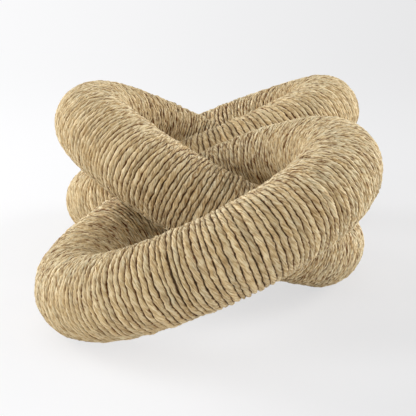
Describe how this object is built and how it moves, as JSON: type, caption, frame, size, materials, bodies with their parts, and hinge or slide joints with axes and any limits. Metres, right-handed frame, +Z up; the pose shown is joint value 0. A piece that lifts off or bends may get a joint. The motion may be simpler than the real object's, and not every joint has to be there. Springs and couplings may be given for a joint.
{
  "type": "chain link ornament",
  "caption": "Ornament of big rounded chain links, each a wooden core wound all over with natural fibre cord, interlocked and lying in a loose pile.",
  "frame": {"origin": "middle of the base of the whole pile's box, on the table", "axes": "+Z up, +Y from the front link through the middle link to the back link, +X to the right as seen from the front"},
  "size_m": [0.2508, 0.5062, 0.1508],
  "materials": {
    "wood": "bare",
    "cord": "matte twisted plant fibre"
  },
  "bodies": {
    "middle_link": {"middle_link_core_right": "wood", "middle_link_core_left": "wood", "middle_link_dowel_near": "wood", "middle_link_dowel_far": "wood", "middle_link_winding": "cord"},
    "front_link": {"front_link_core_right": "wood", "front_link_core_left": "wood", "front_link_dowel_near": "wood", "front_link_dowel_far": "wood", "front_link_winding": "cord"},
    "back_link": {"back_link_core_right": "wood", "back_link_core_left": "wood", "back_link_dowel_near": "wood", "back_link_dowel_far": "wood", "back_link_winding": "cord"}
  },
  "joints": [
    {"name": "front_link_swing", "type": "hinge", "parent": "middle_link", "child": "front_link", "pos_m": [0.00485, -0.04335, 0.07772], "axis": [-0.8759, -0.0422, -0.4806], "range_deg": [0, 75]},
    {"name": "back_link_swing", "type": "hinge", "parent": "middle_link", "child": "back_link", "pos_m": [-0.00474, 0.04437, 0.0722], "axis": [0.8884, -0.2451, 0.3882], "range_deg": [0, 75]}
  ]
}
